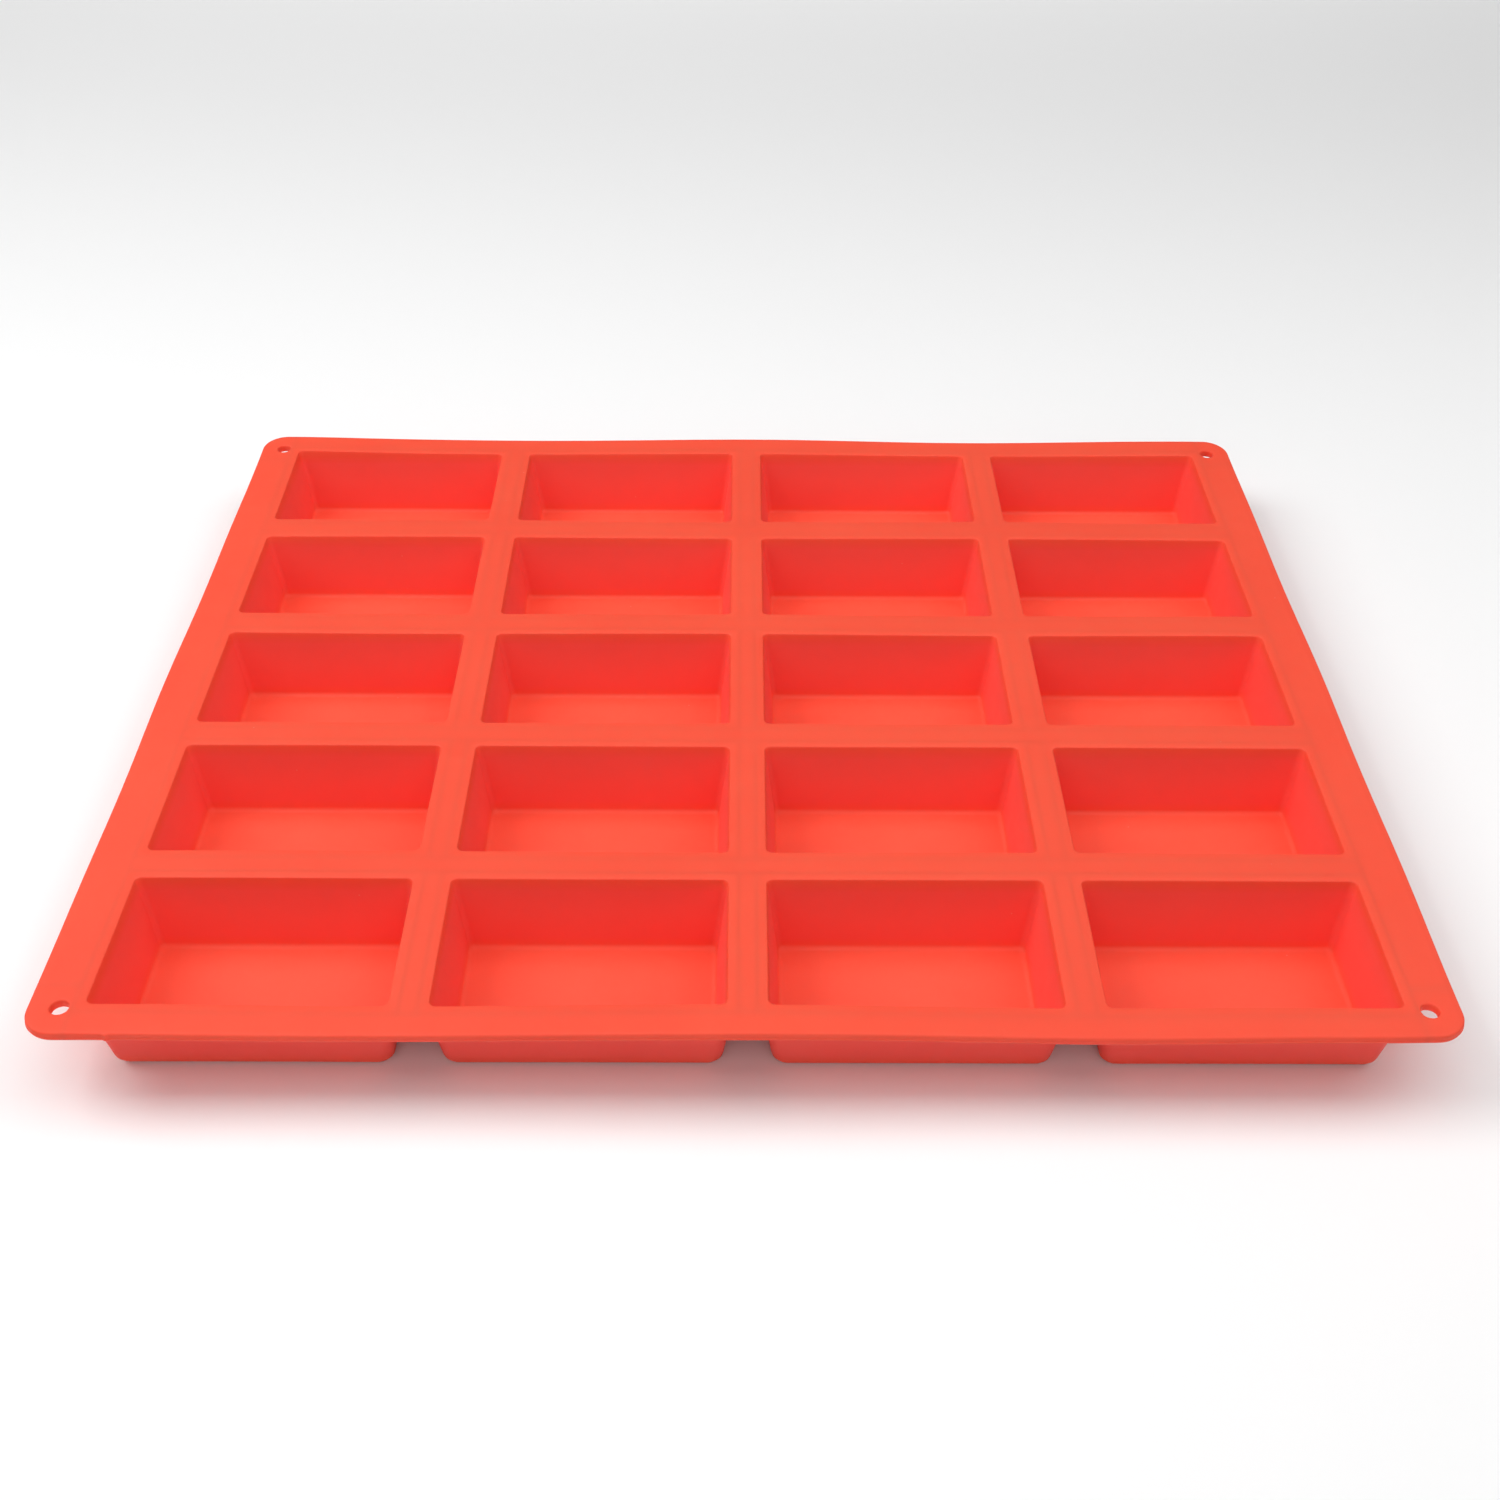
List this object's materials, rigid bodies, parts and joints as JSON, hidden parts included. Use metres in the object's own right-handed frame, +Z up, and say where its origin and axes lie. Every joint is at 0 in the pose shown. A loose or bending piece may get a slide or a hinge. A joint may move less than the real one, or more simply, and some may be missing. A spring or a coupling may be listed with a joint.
{
  "type": "soap bar mould",
  "caption": "Flexible silicone soap mould: a flat flange with rounded, holed corners and a grid of drafted rectangular bar cavities hanging below it.",
  "frame": {"origin": "middle of the footprint, on the surface that the cups stand on", "axes": "+X along the bars and the longer side, +Y across the bars towards the back, +Z up out of the cavities"},
  "size_m": [0.383, 0.32, 0.026],
  "materials": {
    "silicone": "satin"
  },
  "bodies": {
    "root": {"cup_r1_c1": "silicone", "cup_r1_c2": "silicone", "cup_r1_c3": "silicone", "cup_r1_c4": "silicone", "cup_r2_c1": "silicone", "cup_r2_c2": "silicone", "cup_r2_c3": "silicone", "cup_r2_c4": "silicone", "cup_r3_c1": "silicone", "cup_r3_c2": "silicone", "cup_r3_c3": "silicone", "cup_r3_c4": "silicone", "cup_r4_c1": "silicone", "cup_r4_c2": "silicone", "cup_r4_c3": "silicone", "cup_r4_c4": "silicone", "cup_r5_c1": "silicone", "cup_r5_c2": "silicone", "cup_r5_c3": "silicone", "cup_r5_c4": "silicone", "row_web_r1_r2": "silicone", "row_web_r2_r3": "silicone", "row_web_r3_r4": "silicone", "row_web_r4_r5": "silicone", "cup_web_r1_c1_c2": "silicone", "cup_web_r1_c2_c3": "silicone", "cup_web_r1_c3_c4": "silicone", "cup_web_r2_c1_c2": "silicone", "cup_web_r2_c2_c3": "silicone", "cup_web_r2_c3_c4": "silicone", "cup_web_r3_c1_c2": "silicone", "cup_web_r3_c2_c3": "silicone", "cup_web_r3_c3_c4": "silicone", "cup_web_r4_c1_c2": "silicone", "cup_web_r4_c2_c3": "silicone", "cup_web_r4_c3_c4": "silicone", "cup_web_r5_c1_c2": "silicone", "cup_web_r5_c2_c3": "silicone", "cup_web_r5_c3_c4": "silicone", "rim_front": "silicone", "rim_back": "silicone", "rim_left": "silicone", "rim_right": "silicone", "corner_front_left": "silicone", "corner_front_right": "silicone", "corner_back_left": "silicone", "corner_back_right": "silicone"}
  },
  "joints": []
}
